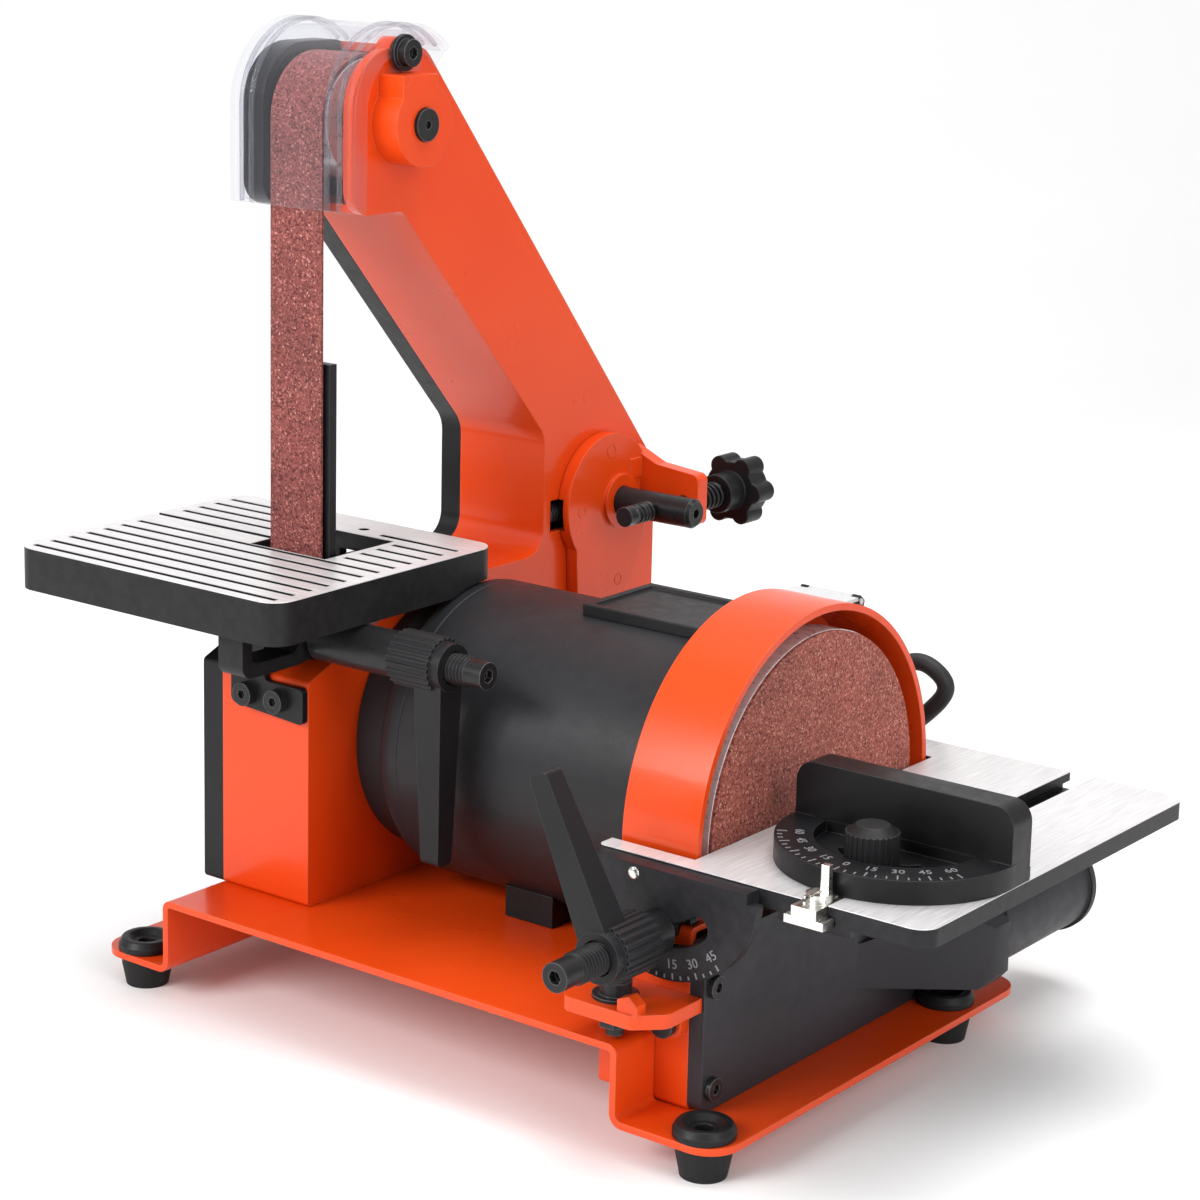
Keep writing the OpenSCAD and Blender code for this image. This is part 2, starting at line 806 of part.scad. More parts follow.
module switch_box() {
  color(black) difference() {
    union() {
      box([44, 74.8, 92], [74.2, 98, 146]);
      for (x = [47, 70]) yz(x, 3)
        polygon(rounded([[95, 140], [98, 140], [101, 151], [97, 154], [95, 150]], 1));
    }
    box([47, 78, 95], [71.2, 94, 143]);
    box([50.9, 79.9, 140], [69.1, 93.1, 147]);
    xrod(40, 40, motor_r + 0.1, drive_c);
    yrod(93, 7, 5 + gap, [60, 104]);
    xrod(46, 28, 1.2 + run, flap_c);
    xrod(45.5, 29, 1.2 + run, rocker_c);
  }
}

module rocker_switch() {
  side = [[82, 136], [91, 136], [91.6, 146.2], [86.5, 144.8], [81.6, 147.4]];
  color(black) union() {
    yz(51.2, 17.6) polygon(rounded(side, 0.8));
    xrod(46, 28, 1.2, rocker_c);
  }
}

module switch_flap() {
  color(clear) union() {
    box([46, 79, 151.9], [74, 94.7, 153.2]);
    xrod(50.3, 19.4, 2.2, flap_c);
    box([50.3, 94, 151.5], [69.7, 97.5, 152.9]);
    xrod(46.5, 27, 1.2, flap_c);
  }
}

module capacitor() {
  color(dark) xrod(49, 22, 7, [86.3, 106]);
}

module power_cord() {
  color(rubber) union() {
    yrod(95.1, 10, 5, [60, 104]);
    yrod(100, 24, 3.2, [60, 104]);
  }
}

// ---------- disc ----------

module disc_plate() {
  color(steel) difference() {
    union() {
      xrod(plate_x0 + 4, disc_face - abrasive_t - plate_x0 - 4, disc_r, drive_c);
      difference() {
        xrod(plate_x0, 5, disc_r, drive_c);
        xrod(plate_x0 - 1, 5, disc_r - 5, drive_c);
      }
      xrod(84, 17, 14, drive_c);
    }
    xrod(83, 20.05, shaft_r + 0.01, drive_c);
    zrod(motor_z, 20, 2 + gap, [90, motor_y]);
  }
}

module disc_plate_screw() {
  color(black) difference() {
    zrod(motor_z + shaft_r + 0.02, 7, 2, [90, motor_y]);
    translate([90, motor_y, motor_z + 11]) cylinder(h = 4, r = 1.1, $fn = 6);
  }
}

module abrasive_disc() {
  color(grit) xrod(disc_face - abrasive_t, abrasive_t, disc_r - 0.3, drive_c);
}

function disc_cover_screw_places() = [[-60, 58], [-60, 22], [87, 66]];

module disc_housing() {
  outline = rounded(rect(box_front, flange_z + 0.2, box_rear, 78), 2);
  inner = rounded(rect(box_front + 2.5, flange_z + 2.7, box_rear - 2.5, 76), 1);
  color(orange) difference() {
    union() {
      difference() {
        union() {
          yz(box_x0, box_x1 - box_x0) polygon(outline);
          xrod(box_x0, 31, guard_r, drive_c);
        }
        yz(box_x0 + 2.6, 50) polygon(inner);
        xrod(box_x0 + 2.6, 50, guard_r - 2.5, drive_c);
      }
      for (p = disc_cover_screw_places()) xrod(box_x1 - 16, 16, 4.2, p);
    }
    xrod(box_x0 - 1, 6, 15, drive_c);
    for (p = disc_cover_screw_places()) xrod(box_x1 - 12, 14, 2 + gap, p);
    yrod(box_front - 1, 5, 4 + gap, [clamp_x, clamp_z]);
    yrod(box_front + 2.4, 5, 7.5, [clamp_x, clamp_z]);
    for (x = [88, 108]) yrod(box_front - 1, 5, 2.5 + gap, [x, 45]);
  }
}

module disc_cover() {
  face = rounded(rect(box_front, flange_z + 0.2, box_rear, 74), [4, 2, 2, 4]);
  plan = [[118, 25], [121, 31], [146, 82], [146, 92.6], [118, 92.6]];
  side = [[24, 47], [31, 47], [82, 57], [92.6, 57], [92.6, 20.4], [82, 20.4], [31, 30], [24, 30]];
  front = [[110, 20.4], [142, 20.4], [146, 25], [146, 44], [134, 57], [110, 57]];
  plan_in = [[110, 33], [119, 33], [142.5, 83], [142.5, 94], [110, 94]];
  side_in = [[30, 45], [82, 54.5], [94, 54.5], [94, 23], [82, 23], [30, 33]];
  front_in = [[100, 23], [141, 23], [143, 26], [143, 43], [132.5, 54.5], [100, 54.5]];
  color(dark) difference() {
    union() {
      yz(box_x1, cover_t) polygon(face);
      duct(plan, side, front);
    }
    duct(plan_in, side_in, front_in);
    yz(box_x1 - 1, 4) polygon(rounded(inset(face_rect(), 3), 2));
    for (p = disc_cover_screw_places()) xrod(box_x1 - 1, 8, 2 + gap, p);
    zrod(13, 6.5, 11.2, [foot_x, foot_y]);
  }
  color(dark) for (p = disc_cover_screw_places()) difference() {
    xrod(box_x1, 4, 4.6, p);
    xrod(box_x1 - 1, 8, 2 + gap, p);
  }
}

function face_rect() = rect(box_front, flange_z + 0.2, box_rear, 74);

module duct(plan, side, front) {
  intersection() {
    linear_extrude(80) polygon(plan);
    yz(100, 60) polygon(side);
    xz(10, 90) polygon(front);
  }
}

module disc_cover_screws() {
  color(black) for (p = disc_cover_screw_places()) difference() {
    union() {
      xrod(box_x1 + cover_t, 2.4, 4, p);
      xrod(box_x1 - 10, 10 + cover_t, 2, p);
    }
    hex_socket(box_x1 + cover_t + 2.4, -1, p, 1.9);
  }
}

module dust_port() {
  color(dark) difference() {
    union() {
      yrod(92.7, port_y1 - 92.7, port_r, [port_x, port_z]);
      yrod(port_y1 - 3, 3, port_r + 1.2, [port_x, port_z]);
    }
    yrod(port_y1 - 40, 41, port_r - 2.5, [port_x, port_z]);
    yrod(92, port_y1 - 40 - 91.9, port_r - 2, [port_x, port_z]);
  }
}

// ---------- disc table ----------

module disc_table() {
  plan = rounded(rect(75, -65.2, 203.2, 112), [2, 7, 7, 2]);
  top = disc_table_z;
  low = disc_table_z - disc_table_t;
  cut_x = 109.3;
  color(dark) difference() {
    union() {
      translate([0, 0, low]) linear_extrude(disc_table_t) polygon(plan);
      box([148, -65.2, top - 9], [175, 112, low + 1]);
      xz(-72, 4) union() {
        intersection() {
          translate([tilt_x, tilt_z]) circle(r = trunnion_r);
          polygon(rect(60, 20, 160, low + 2));
        }
        polygon(rect(78.5, 84, 90, low + 2));
      }
      box([78, -72, low], [140, -65, top - 0.8]);
      box([78.5, -71.5, 84], [82, -58, low + 0.5]);
    }
    box([70, -57.5, low - 20], [cut_x, 94, top + 1]);
    xz(-57.5, 151.5) polygon([
      [cut_x - 1, low - 6], [cut_x + 11, low - 6], [cut_x, top - 1.2], [cut_x - 1, top - 1.2]
    ]);
    box([groove_x - 4.9, -80, top - 3.6], [groove_x + 4.9, 120, top + 1]);
    box([groove_x - 7.6, -80, top - 6.6], [groove_x + 7.6, 120, top - 3.4]);
    xz(-74, 8) clamp_slot();
  }
}

// Points of an arc, without its first and last ones
function arc(c, r, a0, a1, n) = [for (k = [1:n - 1]) c + r * dir(a0 + (a1 - a0) * k / n)];

function dir(a) = [cos(a), sin(a)];

// The curved slot that the table's clamp shaft runs along
module clamp_slot() {
  half_w = 4 + 0.3;
  a0 = slot_a - 3;
  a1 = a0 + tilt_max + 6;
  translate([tilt_x, tilt_z]) polygon(concat(
    arc([0, 0], slot_r + half_w, a0, a1, 16),
    arc(slot_r * dir(a1), half_w, a1, a1 + 180, 10),
    arc([0, 0], slot_r - half_w, a1, a0, 16),
    arc(slot_r * dir(a0), half_w, a0 + 180, a0 + 360, 10)
  ));
}

module table_support() {
  z0 = 50;
  color(orange) difference() {
    union() {
      translate([0, 0, z0]) linear_extrude(5)
        polygon(rounded([[82, -93], [110, -93], [119, -84], [119, -65.1], [80, -65.1], [80, -88]],
          [5, 3, 5, 0, 0, 5]));
      xz(-70, 4.9) polygon(rounded([[82, 40.3], [114, 40.3], [114, 54], [82, 54]], [4, 4, 0, 0]));
      xz(-92, 5) polygon([[104, 54], [112, 54], [112, 58], [108.5, 61], [104, 59]]);
    }
    for (x = [88, 108]) yrod(-72, 8, 2.5 + gap, [x, 45]);
    zrod(40, 30, 3 + gap, [96, -82]);
  }
}

module tilt_stop_bolt() {
  color(black) union() {
    zrod(42, 18, 3, [96, -82]);
    zrod(55.05, 1.2, 8, [96, -82]);
    zrod(56, 5, 5.5, [96, -82]);
    translate([96, -82, 45]) cylinder(h = 4.9, r = 5.5, $fn = 6);
  }
  color(black) for (x = [88, 108]) difference() {
    union() {
      yrod(-73, 2.9, 4.6, [x, 45]);
      yrod(-70.2, 8.2, 2.5, [x, 45]);
    }
    translate([x, -73.01, 45]) rotate([-90, 0, 0]) cylinder(h = 1.8, r = 1.9, $fn = 6);
  }
}

lever2_y0 = -82;

module disc_table_shaft() {
  c = [clamp_x, clamp_z];
  color(black) difference() {
    union() {
      yrod(lever2_y0 - 36, 58, 4, c);
      yrod(-62.4, 4, 7, c);
      yrod(lever2_y0 + 0.2, 9.4, 7.5, c);
      yrod(lever2_y0 - 45, 9.1, 5, c);
    }
    translate([clamp_x, lever2_y0 - 45.01, clamp_z]) rotate([-90, 0, 0]) cylinder(h = 3, r = 2.5, $fn = 6);
  }
}

module disc_table_lever() {
  color(black) translate([clamp_x, lever2_y0, clamp_z]) rotate([0, 0, -90]) rotate([-153, 0, 0]) {
    clamp_lever(62, 4 + run);
    translate([19.5, 0, 0]) lever_spring(16);
  }
}

// ---------- mitre gauge ----------

swivel_c = [groove_x, -14];
clamp_c = [groove_x, -32];

module mitre_bar() {
  top = disc_table_z;
  color(zinc) difference() {
    union() {
      box([groove_x - 4.75, -72, top - 3.7], [groove_x + 4.75, 60, top - 0.1]);
      box([groove_x - 7.4, -72, top - 6.4], [groove_x + 7.4, 60, top - 3.6]);
      zrod(top - 0.2, 3.2, 2.5, swivel_c);
      zrod(top - 0.2, 9.2, 2.5, clamp_c);
      zrod(top - 0.2, 3, 4.4, [groove_x, -63]);
      box([groove_x - 4, -66, top + 0.5], [groove_x + 4, -58.1, top + 1.5]);
      box([groove_x - 1.5, -60, top + 1.3], [groove_x + 1.5, -57.6, top + 11]);
    }
    box([groove_x - 0.5, -68, top + 2.2], [groove_x + 0.5, -61, top + 4]);
  }
}

// The protractor: a half disc with a raised rim around a recessed floor, and an upright fence
module mitre_head() {
  top = disc_table_z + 0.15;
  r = 42;
  floor_t = 4;
  slot_arc = norm(clamp_c - swivel_c);
  color(black) difference() {
    union() {
      translate([0, 0, top]) linear_extrude(8) intersection() {
        translate(swivel_c) circle(r = r);
        polygon(rect(100, -80, 240, -8));
      }
      translate([0, 0, top]) linear_extrude(floor_t) polygon(rect(120.6, -14, 202.6, 0));
      xz(-14, 12) polygon(rounded(rect(119.8, top, 203.4, top + 27), [0, 0, 7, 7]));
    }
    zrod(top - 1, floor_t, 2.5 + run, swivel_c);
    translate([0, 0, top + floor_t]) linear_extrude(6) intersection() {
      translate(swivel_c) circle(r = r - 13);
      polygon(rect(100, -80, 240, -14.01));
    }
    translate([swivel_c[0], swivel_c[1], top - 1]) linear_extrude(floor_t + 2) difference() {
      circle(r = slot_arc + 2.7);
      circle(r = slot_arc - 2.7);
      rotate(56) translate([0, -60]) square([60, 120]);
      rotate(-56) translate([-60, -60]) square([60, 120]);
    }
  }
}

module mitre_knob() {
  ribs = 26;
  color(black) translate([clamp_c[0], clamp_c[1], disc_table_z + 4.4]) difference() {
    union() {
      linear_extrude(11) union() {
        circle(r = 8.4);
        for (k = [0:ribs - 1]) rotate(k * 360 / ribs) translate([8.4, 0]) circle(r = 0.7, $fn = 13);
      }
      translate([0, 0, 11]) cylinder(h = 2.4, r1 = 8.6, r2 = 5.5);
    }
    translate([0, 0, -1]) cylinder(h = 7, r = 2.5 + run);
  }
}

base_plate();
rubber_feet();
foot_grommets();
belt_housing();
side_cover();
housing_screws();
upper_axle();
upper_wheel();
upper_wheel_bearings();
drive_wheel();
drive_wheel_screw();
sanding_belt();
platen();
platen_screws();
idler_wheel();
idler_bearings();
idler_shaft();
tension_arm();
tension_pivot_bolt();
tension_spring();
tracking_counter_screw();
tracking_knob();
tracking_spring();
belt_guard();
guard_screw();
table_bracket();
bracket_screws();
belt_table();
belt_table_shaft();
belt_table_lever();
motor_housing();
motor_end_cover();
stator();
stator_windings();
rotor();
motor_shaft();
motor_bearings();
motor_fan();
motor_foot();
label_plate();
switch_box();
rocker_switch();
switch_flap();
capacitor();
power_cord();
disc_plate();
abrasive_disc();
disc_plate_screw();
disc_housing();
disc_cover();
disc_cover_screws();
dust_port();
disc_table();
table_support();
tilt_stop_bolt();
disc_table_shaft();
disc_table_lever();
mitre_bar();
mitre_head();
mitre_knob();
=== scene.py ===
"""The look of the bench belt and disc sander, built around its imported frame."""

import json
import math

import bpy
from mathutils import Matrix, Vector


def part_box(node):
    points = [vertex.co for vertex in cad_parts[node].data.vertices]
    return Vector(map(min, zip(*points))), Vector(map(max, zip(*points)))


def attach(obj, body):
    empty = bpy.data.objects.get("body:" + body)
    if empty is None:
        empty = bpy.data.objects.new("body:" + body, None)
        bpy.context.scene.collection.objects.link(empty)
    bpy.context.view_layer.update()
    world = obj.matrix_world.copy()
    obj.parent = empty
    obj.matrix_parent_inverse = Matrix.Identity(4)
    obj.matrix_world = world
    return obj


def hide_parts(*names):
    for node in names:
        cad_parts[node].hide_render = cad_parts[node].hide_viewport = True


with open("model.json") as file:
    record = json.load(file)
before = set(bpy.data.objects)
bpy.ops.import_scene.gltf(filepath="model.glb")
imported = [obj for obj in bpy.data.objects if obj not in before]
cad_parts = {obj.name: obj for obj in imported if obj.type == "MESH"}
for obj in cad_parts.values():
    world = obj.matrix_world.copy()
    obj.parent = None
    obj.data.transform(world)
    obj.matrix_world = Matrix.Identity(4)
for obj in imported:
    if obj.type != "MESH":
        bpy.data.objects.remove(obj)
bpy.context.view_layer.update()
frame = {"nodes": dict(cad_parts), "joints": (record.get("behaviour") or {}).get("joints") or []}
nodes = frame["nodes"]
mm = 0.001


# ---------- places, all taken from the frame ----------

def joint_point(name):
    """The point in the row frame that a joint turns about."""
    found = [j for j in frame["joints"] if j["name"] == name]
    return Vector(found[0]["pos_m"])


DRIVE = joint_point("drive_spin")
UPPER = joint_point("upper_wheel_spin")
IDLER = joint_point("idler_wheel_spin")
TILT = joint_point("disc_table_tilt")
SWIVEL = joint_point("mitre_swivel")


# ---------- node-based materials ----------

class Shader:
    """A material made of nodes, with short calls for the nodes that recur."""

    def __init__(self, name):
        self.material = bpy.data.materials.new(name)
        self.material.use_nodes = True
        self.tree = self.material.node_tree
        self.tree.nodes.clear()
        self.out = self.tree.nodes.new("ShaderNodeOutputMaterial")
        self.bsdf = self.node("ShaderNodeBsdfPrincipled")
        self.tree.links.new(self.bsdf.outputs[0], self.out.inputs["Surface"])
        self.place = self.node("ShaderNodeTexCoord").outputs["Object"]

    def node(self, kind, inputs=None, **settings):
        node = self.tree.nodes.new(kind)
        for key, value in settings.items():
            setattr(node, key, value)
        for key, value in (inputs or {}).items():
            self.feed(node.inputs[key], value)
        return node

    def feed(self, socket, value):
        if isinstance(value, bpy.types.NodeSocket):
            self.tree.links.new(value, socket)
        else:
            socket.default_value = value

    def set(self, **values):
        for key, value in values.items():
            self.feed(self.bsdf.inputs[key.replace("_", " ")], value)

    def math(self, operation, a, b=0.5, clamp=False):
        node = self.node("ShaderNodeMath", {0: a, 1: b}, operation=operation, use_clamp=clamp)
        return node.outputs[0]

    def noise(self, scale, detail=3.0, rough=0.55, stretch=(1, 1, 1)):
        place = self.node("ShaderNodeMapping", {"Vector": self.place, "Scale": stretch}).outputs[0]
        inputs = {"Vector": place, "Scale": scale, "Detail": detail, "Roughness": rough}
        return self.node("ShaderNodeTexNoise", inputs).outputs["Fac"]

    def grains(self, scale):
        return self.node("ShaderNodeTexVoronoi", {"Vector": self.place, "Scale": scale})

    def ramp(self, value, stops):
        node = self.node("ShaderNodeValToRGB", {"Fac": value})
        ramp = node.color_ramp
        while len(ramp.elements) < len(stops):
            ramp.elements.new(0.5)
        for element, (position, color) in zip(ramp.elements, stops):
            element.position = position
            element.color = (*color, 1) if len(color) == 3 else color
        return node.outputs["Color"]

    def span(self, value, low, high):
        """Spreads a value's useful range 0.3 to 0.7 over low to high."""
        inputs = {"Value": value, "From Min": 0.3, "From Max": 0.7, "To Min": low, "To Max": high}
        return self.node("ShaderNodeMapRange", inputs).outputs[0]

    def mix(self, factor, a, b):
        node = self.node("ShaderNodeMix", data_type="RGBA")
        for socket, value in ((node.inputs[0], factor), (node.inputs[6], a), (node.inputs[7], b)):
            self.feed(socket, (*value, 1) if isinstance(value, tuple) and len(value) == 3 else value)
        return node.outputs[2]

    def mix_value(self, factor, a, b):
        node = self.node("ShaderNodeMix", {0: factor, 2: a, 3: b}, data_type="FLOAT")
        return node.outputs[0]

    def bump(self, height, distance, strength=1.0, soft_edge=0.0):
        inputs = {"Height": height, "Distance": distance, "Strength": strength}
        if soft_edge:
            inputs["Normal"] = self.node("ShaderNodeBevel", {"Radius": soft_edge}, samples=4).outputs[0]
        self.set(Normal=self.node("ShaderNodeBump", inputs).outputs[0])

    def worn_edge(self, radius=0.0006):
        """1 on convex and concave edges and 0 on flat faces: where edges get a painted highlight."""
        bevel = self.node("ShaderNodeBevel", {"Radius": radius}, samples=4).outputs[0]
        plain = self.node("ShaderNodeNewGeometry").outputs["Normal"]
        dot = self.node("ShaderNodeVectorMath", {0: bevel, 1: plain}, operation="DOT_PRODUCT").outputs["Value"]
        return self.math("MULTIPLY", self.math("SUBTRACT", 1.0, dot), 6.0, clamp=True)


def orange_paint():
    s = Shader("orange_paint")
    shade = s.span(s.noise(9, 2), 0.0, 1.0)
    color = s.mix(shade, (0.64, 0.047, 0.003), (0.70, 0.060, 0.005))
    # Edges are painted a lighter orange: a painted highlight where the light catches them.
    s.set(Base_Color=s.mix(s.math("MULTIPLY", s.worn_edge(), 0.35), color, (0.90, 0.24, 0.10)))
    s.set(Roughness=s.span(s.noise(60), 0.27, 0.36), Coat_Weight=0.22, Coat_Roughness=0.12,
          Specular_IOR_Level=0.22)
    s.bump(s.noise(700, 2), 0.00006, 0.35, soft_edge=0.0007)
    return s.material


def dark_shell(name, color, rough, grain, depth, highlight_color=(0.085, 0.08, 0.09)):
    """Dark paint or moulded plastic with a fine grain, and edges painted lighter as a painted highlight."""
    s = Shader(name)
    lightness = s.span(s.noise(14, 3), 0.75, 1.25)
    base = s.node("ShaderNodeVectorMath", {0: color, "Scale": lightness}, operation="SCALE").outputs[0]
    # The edges are painted lighter: a painted highlight.
    s.set(Base_Color=s.mix(s.math("MULTIPLY", s.worn_edge(0.0005), 0.5), base, highlight_color))
    s.set(Roughness=s.span(s.noise(180, 4), rough - 0.06, rough + 0.08), Specular_IOR_Level=0.22)
    s.bump(s.noise(grain, 3), depth, 0.5, soft_edge=0.0005)
    return s.material


def bare_metal(name, color, rough, streak=(1, 1, 1), scale=300, metallic=1.0):
    """Bare metal, with streaks along the axis that streak shortens."""
    s = Shader(name)
    lines = s.noise(scale, 4, 0.6, streak)
    base = s.mix(s.span(lines, 0, 1), tuple(c * 0.82 for c in color), color)
    s.set(Base_Color=base, Metallic=metallic)
    s.set(Roughness=s.span(lines, rough - 0.07, rough + 0.1))
    s.bump(lines, 0.00003, 0.5, soft_edge=0.0003)
    return s.material


def brushed_top(name, top, side, streak, color=(0.76, 0.745, 0.75)):
    """Brushed metal on faces that look up at the height top, and side's paint elsewhere."""
    s = Shader(name)
    apart = s.node("ShaderNodeSeparateXYZ", {"Vector": s.place}).outputs["Z"]
    high = s.math("GREATER_THAN", apart, top - 0.25 * mm)
    lines = s.noise(2600, 3, 0.65, streak)
    clouds = s.noise(22, 3, 0.6)
    metal = s.mix(s.span(lines, 0, 1), tuple(c * 0.72 for c in color), tuple(c * 1.12 for c in color))
    metal = s.mix(s.span(clouds, 0, 0.22), metal, (0.66, 0.65, 0.66))
    grain = s.mix(s.span(s.noise(300), 0, 1), tuple(c * 0.8 for c in side), tuple(c * 1.3 for c in side))
    s.set(Base_Color=s.mix(high, grain, metal), Metallic=s.math("MULTIPLY", high, 0.45))
    s.set(Roughness=s.mix_value(high, 0.42, s.span(lines, 0.30, 0.46)),
          Specular_IOR_Level=s.mix_value(high, 0.18, 0.5))
    s.bump(s.mix_value(high, s.noise(1300), lines), 0.00003, 0.5, soft_edge=0.0004)
    return s.material


def abrasive(name, dark, middle, light, pale_edge=None):
    """Coated grit: dense grains of mixed tone with a few bright crystals."""
    s = Shader(name)
    grains = s.grains(1500)
    tone = s.node("ShaderNodeSeparateColor", {"Color": grains.outputs["Color"]}).outputs[0]
    soft = s.noise(1100, 4, 0.7)
    mixed = s.math("ADD", s.math("MULTIPLY", tone, 0.45), s.math("MULTIPLY", soft, 0.55))
    color = s.ramp(mixed, [(0.30, dark), (0.47, middle), (0.62, middle), (0.74, light), (0.84, (0.80, 0.52, 0.44))])
    patch = s.span(s.noise(30, 2), 0.86, 1.12)
    color = s.node("ShaderNodeVectorMath", {0: color, "Scale": patch}, operation="SCALE").outputs[0]
    s.set(Base_Color=color, Roughness=s.span(soft, 0.5, 0.9), Specular_IOR_Level=0.35)
    s.bump(mixed, 0.0003, 0.9)
    return s.material


def clear_plastic(name, lightness, haze):
    """Thin clear moulding: see-through face on, reflective at a glancing angle, where its grey colour also shows; on
    the guard and its flutes that grey is a painted dark reflection.
    """
    s = Shader(name)
    # The grey base colour, shown at a glancing angle and through the haze, is a painted dark reflection on the guard
    # and its flutes.
    s.set(Base_Color=(*lightness, 1), Roughness=0.06, Transmission_Weight=0.25, IOR=1.46, Coat_Weight=0.6)
    s.bump(s.noise(160, 2), 0.00008, 0.25, soft_edge=0.0006)
    see = s.node("ShaderNodeBsdfTransparent", {"Color": (0.97, 0.97, 0.985, 1)})
    facing = s.node("ShaderNodeLayerWeight", {"Blend": 0.35}).outputs["Facing"]
    solid = s.math("ADD", s.math("MULTIPLY", s.math("POWER", facing, 2.4), 0.7), haze, clamp=True)
    inputs = {0: solid, 1: see.outputs[0], 2: s.bsdf.outputs[0]}
    blend = s.node("ShaderNodeMixShader", inputs)
    s.tree.links.new(blend.outputs[0], s.out.inputs["Surface"])
    return s.material


def printed(name, color, rough=0.5):
    """Paint of one tone with slight unevenness, for marks and printed bars."""
    s = Shader(name)
    s.set(Base_Color=s.mix(s.span(s.noise(400), 0, 1), tuple(0.86 * c for c in color), color))
    s.set(Roughness=s.span(s.noise(200), rough - 0.05, rough + 0.08))
    return s.material


BELT_TABLE_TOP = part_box("belt_table")[1].z
DISC_TABLE_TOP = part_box("disc_table")[1].z

ORANGE = orange_paint()
# The last colour given to a dark shell is its painted edge highlight; the black oxide's is the brightest.
SATIN_BLACK = dark_shell("satin_black", (0.007, 0.007, 0.008), 0.36, 1500, 0.00004)
MOULDED = dark_shell("moulded_black", (0.010, 0.010, 0.011), 0.42, 2200, 0.00007)
GREY_SHELL = dark_shell("grey_shell", (0.026, 0.024, 0.028), 0.46, 1800, 0.00006, (0.12, 0.11, 0.12))
MOTOR = dark_shell("motor_paint", (0.019, 0.019, 0.021), 0.40, 1300, 0.00009, (0.12, 0.11, 0.12))
OXIDE = dark_shell("black_oxide", (0.014, 0.014, 0.015), 0.30, 900, 0.00003, (0.3, 0.3, 0.31))
RUBBER = dark_shell("rubber", (0.012, 0.012, 0.012), 0.62, 900, 0.0001)
CORD = dark_shell("cord_rubber", (0.03, 0.03, 0.033), 0.5, 700, 0.00005)
BELT_TABLE = brushed_top("belt_table_metal", BELT_TABLE_TOP, (0.013, 0.013, 0.014), (0.02, 1, 1))
DISC_TABLE = brushed_top("disc_table_metal", DISC_TABLE_TOP, (0.016, 0.015, 0.017), (1, 0.02, 1))
ALUMINIUM = bare_metal("turned_aluminium", (0.90, 0.90, 0.91), 0.3, metallic=0.55)
STEEL = bare_metal("ground_steel", (0.62, 0.62, 0.63), 0.25, (0.05, 1, 1), 900)
LAMINATION = bare_metal("lamination", (0.40, 0.40, 0.42), 0.4, (1, 0.02, 0.02), 1600)
ZINC = bare_metal("zinc_plate", (0.78, 0.77, 0.72), 0.26, (1, 0.2, 1), 420)
COPPER = bare_metal("enamelled_copper", (0.72, 0.27, 0.11), 0.32, (1, 0.05, 0.05), 1300)
BELT_GRIT = abrasive("belt_grit", (0.075, 0.013, 0.012), (0.215, 0.052, 0.045), (0.42, 0.15, 0.125))
DISC_GRIT = abrasive("disc_grit", (0.105, 0.020, 0.015), (0.300, 0.078, 0.056), (0.50, 0.20, 0.15))
# The grey colours of the clear guard and, darker, of its flutes are painted dark reflections, which the flutes also
# show face on through their haze.
CLEAR = clear_plastic("clear_guard", (0.52, 0.53, 0.57), 0.03)
FLUTE = clear_plastic("clear_flute", (0.24, 0.25, 0.28), 0.20)
FLAP = clear_plastic("clear_flap", (0.62, 0.62, 0.63), 0.85)
WHITE_MARK = printed("white_mark", (0.62, 0.62, 0.62))
GREY_MARK = printed("grey_mark", (0.20, 0.19, 0.20))
LABEL_FACE = printed("label_face", (0.025, 0.012, 0.012), 0.2)
LABEL_ORANGE = printed("label_orange", (0.75, 0.16, 0.04), 0.3)

NODE_MATERIALS = {
    ORANGE: ["base_plate", "belt_housing", "tension_arm", "disc_housing", "table_support"],
    RUBBER: ["rubber_feet"],
    MOULDED: ["disc_table_lever", "belt_table_lever", "tracking_knob", "mitre_knob", "foot_grommets",
              "switch_box", "rocker_switch", "motor_foot", "label_plate", "motor_fan", "capacitor"],
    SATIN_BLACK: ["side_cover", "mitre_head", "table_bracket", "platen"],
    GREY_SHELL: ["disc_cover", "dust_port"],
    MOTOR: ["motor_housing", "motor_end_cover"],
    OXIDE: ["housing_screws", "upper_axle", "drive_wheel_screw", "platen_screws", "idler_shaft",
            "tension_pivot_bolt", "guard_screw", "bracket_screws", "belt_table_shaft",
            "disc_table_shaft", "disc_cover_screws", "tilt_stop_bolt", "disc_plate_screw",
            "tension_spring", "tracking_spring", "tracking_counter_screw"],
    BELT_TABLE: ["belt_table"],
    DISC_TABLE: ["disc_table"],
    ALUMINIUM: ["upper_wheel", "drive_wheel", "idler_wheel", "disc_plate"],
    STEEL: ["upper_wheel_bearings", "idler_bearings", "motor_bearings", "motor_shaft"],
    LAMINATION: ["stator", "rotor"],
    ZINC: ["mitre_bar"],
    COPPER: ["stator_windings"],
    BELT_GRIT: ["sanding_belt"],
    DISC_GRIT: ["abrasive_disc"],
    CLEAR: ["belt_guard"],
    FLAP: ["switch_flap"],
    CORD: ["power_cord"],
}


# ---------- finish of the CAD nodes ----------

